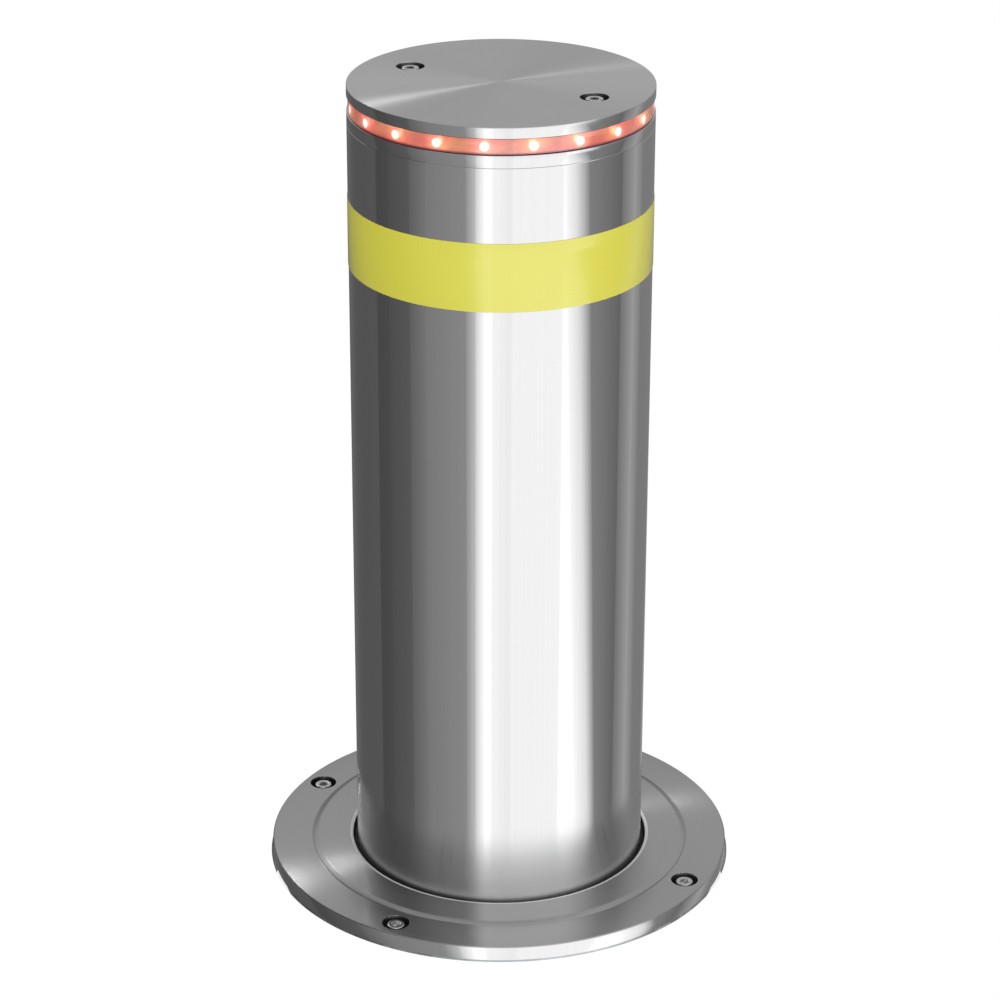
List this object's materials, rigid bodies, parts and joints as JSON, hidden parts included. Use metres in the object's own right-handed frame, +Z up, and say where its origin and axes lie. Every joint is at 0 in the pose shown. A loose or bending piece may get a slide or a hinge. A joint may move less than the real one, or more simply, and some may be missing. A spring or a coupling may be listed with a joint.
{
  "type": "hydraulic bollard",
  "caption": "Rising hydraulic bollard: brushed stainless column with a lit red ring and a reflective band, sliding in a flanged casing set in the ground.",
  "frame": {"origin": "on the column's axis at paving level, in the plane of the cover flange's underside", "axes": "+Z up along the column, +Y away from the viewer of the picture, towards the conduit"},
  "size_m": [0.35, 0.3565, 1.4725],
  "materials": {
    "brushed_stainless": "brushed round",
    "turned_stainless": "turned, fine rings",
    "stainless_fastener": "bright",
    "wiper_rubber": "matt",
    "red_lens": "clear red, lit from behind",
    "lens_gasket": "matt",
    "lamp_board": "flexible circuit strip",
    "lamp_white": "lit lamp",
    "reflective_yellow": "reflective film",
    "galvanised_steel": "hot-dip galvanised",
    "bare_bar_steel": "bare bar",
    "bronze_bush": "turned",
    "machined_steel": "machined",
    "painted_cylinder": "satin paint",
    "chromed_rod": "hard chrome, ground",
    "seal_polyurethane": "smooth",
    "zinc_fitting": "zinc plated",
    "nickel_brass": "nickel plated",
    "white_nylon": "machined nylon"
  },
  "bodies": {
    "ground_unit": {"barrel_seals": "seal_polyurethane", "bracket_screw": "stainless_fastener", "buffer_posts": "galvanised_steel", "casing_base_plate": "galvanised_steel", "casing_foot": "galvanised_steel", "casing_top_ring": "galvanised_steel", "casing_tube": "galvanised_steel", "conduit_spigot": "galvanised_steel", "cover_flange": "turned_stainless", "cover_screws": "stainless_fastener", "cylinder_barrel": "painted_cylinder", "cylinder_base_block": "painted_cylinder", "cylinder_bolts": "stainless_fastener", "drain_spigot": "galvanised_steel", "gland_block": "painted_cylinder", "ground_anchors": "bare_bar_steel", "guide_rails": "galvanised_steel", "guide_sleeve": "galvanised_steel", "guide_sleeve_screws": "stainless_fastener", "hose_adapters": "zinc_fitting", "lower_guide_bush": "bronze_bush", "lower_limit_switch": "nickel_brass", "lower_switch_bracket": "galvanised_steel", "lower_switch_nuts": "nickel_brass", "pipe_fittings": "zinc_fitting", "rest_buffers": "wiper_rubber", "return_pipe": "zinc_fitting", "rise_stop_buffer": "wiper_rubber", "rod_guide_bush": "bronze_bush", "rod_seal": "seal_polyurethane", "rod_wiper": "seal_polyurethane", "tie_rod_nuts": "machined_steel", "tie_rods": "machined_steel", "upper_guide_bush": "bronze_bush", "upper_limit_switch": "nickel_brass", "wiper_seal": "wiper_rubber"},
    "column": {"cap_screws": "stainless_fastener", "column_tube": "brushed_stainless", "guide_shoe_screws": "stainless_fastener", "guide_shoes": "white_nylon", "head_ring": "brushed_stainless", "head_screws": "stainless_fastener", "lamp_cable_gland": "nickel_brass", "led_lamps": "lamp_white", "led_strip": "lamp_board", "light_ring": "red_lens", "light_ring_seals": "lens_gasket", "lower_guide_ring": "machined_steel", "piston": "machined_steel", "piston_nut": "machined_steel", "piston_rod": "chromed_rod", "piston_seal": "seal_polyurethane", "piston_wear_rings": "seal_polyurethane", "reflective_band": "reflective_yellow", "rod_nut": "machined_steel", "rod_washer": "machined_steel", "thrust_plate": "machined_steel", "top_cap": "turned_stainless"}
  },
  "joints": [
    {"name": "column_lift", "type": "slide", "parent": "ground_unit", "child": "column", "axis": [0, 0, 1], "range_m": [-0.6, 0]}
  ]
}
